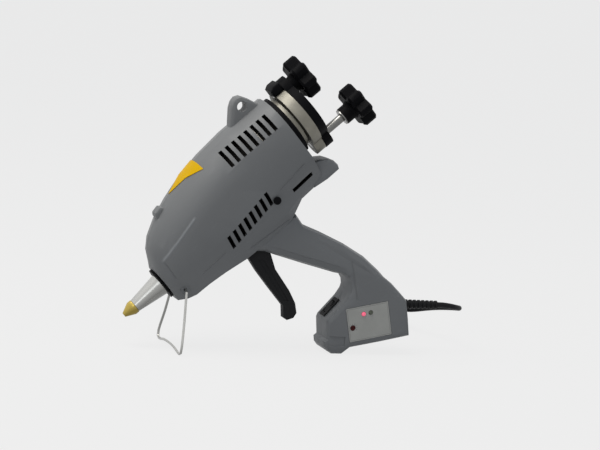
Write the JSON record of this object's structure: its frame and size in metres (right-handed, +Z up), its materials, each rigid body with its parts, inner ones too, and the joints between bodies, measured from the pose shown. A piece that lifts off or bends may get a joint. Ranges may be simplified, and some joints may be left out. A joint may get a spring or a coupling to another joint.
{
  "type": "hot glue applicator",
  "caption": "Hand-held hot glue applicator with a heated tank under a clamped swing lid, a trigger-driven piston pump, a nozzle with a brass tip, a curved grip and a wire stand.",
  "frame": {"origin": "centre of the footprint on the floor, without the lead", "axes": "+X from the nozzle to the grip's end, +Y across to the far side, +Z up; the nozzle axis climbs 43 degrees away from the tip"},
  "size_m": [0.406, 0.2991, 0.325],
  "materials": {
    "housing": "moulded, satin",
    "black_plastic": "moulded, satin",
    "aluminium": "cast, dull",
    "steel": "machined, bright",
    "brass": "turned",
    "silicone": "moulded silicone",
    "ceramic": "fired, matt",
    "panel": "satin film",
    "red_lamp": "clear lens",
    "green_lamp": "clear lens",
    "dark_red": "moulded",
    "yellow": "satin film",
    "board": "lacquered",
    "rubber": "moulded, matt"
  },
  "bodies": {
    "gun": {"housing_near": "housing", "housing_far": "housing", "nozzle_collar": "black_plastic", "mouth_insulator": "black_plastic", "ear_guard": "black_plastic", "side_plug": "black_plastic", "switch_frame": "black_plastic", "tank_casting": "aluminium", "pump_block": "aluminium", "clamp_flange": "aluminium", "nozzle_body": "steel", "outlet_spring": "steel", "pump_sleeve": "steel", "return_spring": "steel", "heater_near": "steel", "heater_far": "steel", "temperature_sensor": "steel", "lower_stud": "steel", "upper_stud": "steel", "housing_screw_1": "steel", "housing_screw_2": "steel", "housing_screw_3": "steel", "housing_screw_4": "steel", "housing_screw_5": "steel", "trigger_pin": "steel", "cord_clamp": "steel", "nozzle_tip": "brass", "gland_nut": "brass", "thermostat": "ceramic", "rear_tank_support": "ceramic", "terminal_block": "ceramic", "rating_panel": "panel", "red_lamp": "red_lamp", "green_lamp": "green_lamp", "yellow_patch": "yellow", "circuit_board": "board", "strain_relief": "rubber", "lead_free": "rubber", "lead_coil": "rubber", "plug": "rubber"},
    "trigger": {"trigger": "black_plastic"},
    "plunger": {"plunger": "steel", "plunger_seal": "silicone", "spring_collar": "steel", "link_pin": "steel"},
    "outlet_ball": {"outlet_ball": "steel"},
    "lid": {"lid_plate": "black_plastic", "lid_seal": "silicone"},
    "lower_washer": {"lower_washer": "steel"},
    "lower_knob": {"lower_star_knob": "black_plastic", "lower_knob_bush": "brass"},
    "upper_washer": {"upper_washer": "steel"},
    "upper_knob": {"upper_star_knob": "black_plastic", "upper_knob_bush": "brass"},
    "stand": {"wire_stand": "steel"},
    "rocker": {"switch_rocker": "black_plastic"},
    "trimmer": {"temperature_trimmer": "dark_red"}
  },
  "joints": [
    {"name": "trigger_squeeze", "type": "hinge", "parent": "gun", "child": "trigger", "pos_m": [-0.03825, 0, 0.12123], "axis": [0, -1, 0], "range_deg": [0, 20], "stiffness_Nm_per_rad": 1, "springref_deg": -8.59},
    {"name": "plunger_stroke", "type": "slide", "parent": "gun", "child": "plunger", "axis": [-0.7314, 0, -0.682], "range_m": [0, 0.0118], "deforming": ["return_spring"]},
    {"name": "ball_lift", "type": "slide", "parent": "gun", "child": "outlet_ball", "axis": [-0.7314, 0, -0.682], "range_m": [0, 0.0015], "stiffness_N_per_m": 120, "springref_m": -0.001, "deforming": ["outlet_spring"]},
    {"name": "lid_swing", "type": "hinge", "parent": "gun", "child": "lid", "pos_m": [-0.0172, 0, 0.28854], "axis": [-0.7314, 0, -0.682], "range_deg": [0, 105]},
    {"name": "lower_knob_travel", "type": "slide", "parent": "gun", "child": "lower_washer", "axis": [0.7314, 0, 0.682], "range_m": [-0.02395, 0.00405]},
    {"name": "lower_knob_turn", "type": "hinge", "parent": "lower_washer", "child": "lower_knob", "pos_m": [0.05456, 0, 0.26657], "axis": [0.7314, 0, 0.682], "range_deg": [-5736, 960]},
    {"name": "upper_knob_travel", "type": "slide", "parent": "gun", "child": "upper_washer", "axis": [0.7314, 0, 0.682], "range_m": [0, 0.00305]},
    {"name": "upper_knob_turn", "type": "hinge", "parent": "upper_washer", "child": "upper_knob", "pos_m": [-0.01171, 0, 0.29365], "axis": [0.7314, 0, 0.682], "range_deg": [0, 720]},
    {"name": "stand_fold", "type": "hinge", "parent": "gun", "child": "stand", "pos_m": [-0.11999, 0, 0.06798], "axis": [0, -1, 0], "range_deg": [0, 80]},
    {"name": "power_switch", "type": "hinge", "parent": "gun", "child": "rocker", "pos_m": [0.05645, 0, 0.04753], "axis": [0, 1, 0], "range_deg": [0, 14]},
    {"name": "temperature_turn", "type": "hinge", "parent": "gun", "child": "trimmer", "pos_m": [0.07591, -0.022, 0.03019], "axis": [0, -1, 0], "range_deg": [-140, 140]}
  ],
  "couplings": [
    {"joint": "plunger_stroke", "follows": "trigger_squeeze", "m_per_rad": 0.03334},
    {"joint": "lower_knob_travel", "follows": "lower_knob_turn", "m_per_rad": 0.00023873},
    {"joint": "upper_knob_travel", "follows": "upper_knob_turn", "m_per_rad": 0.00023873}
  ]
}
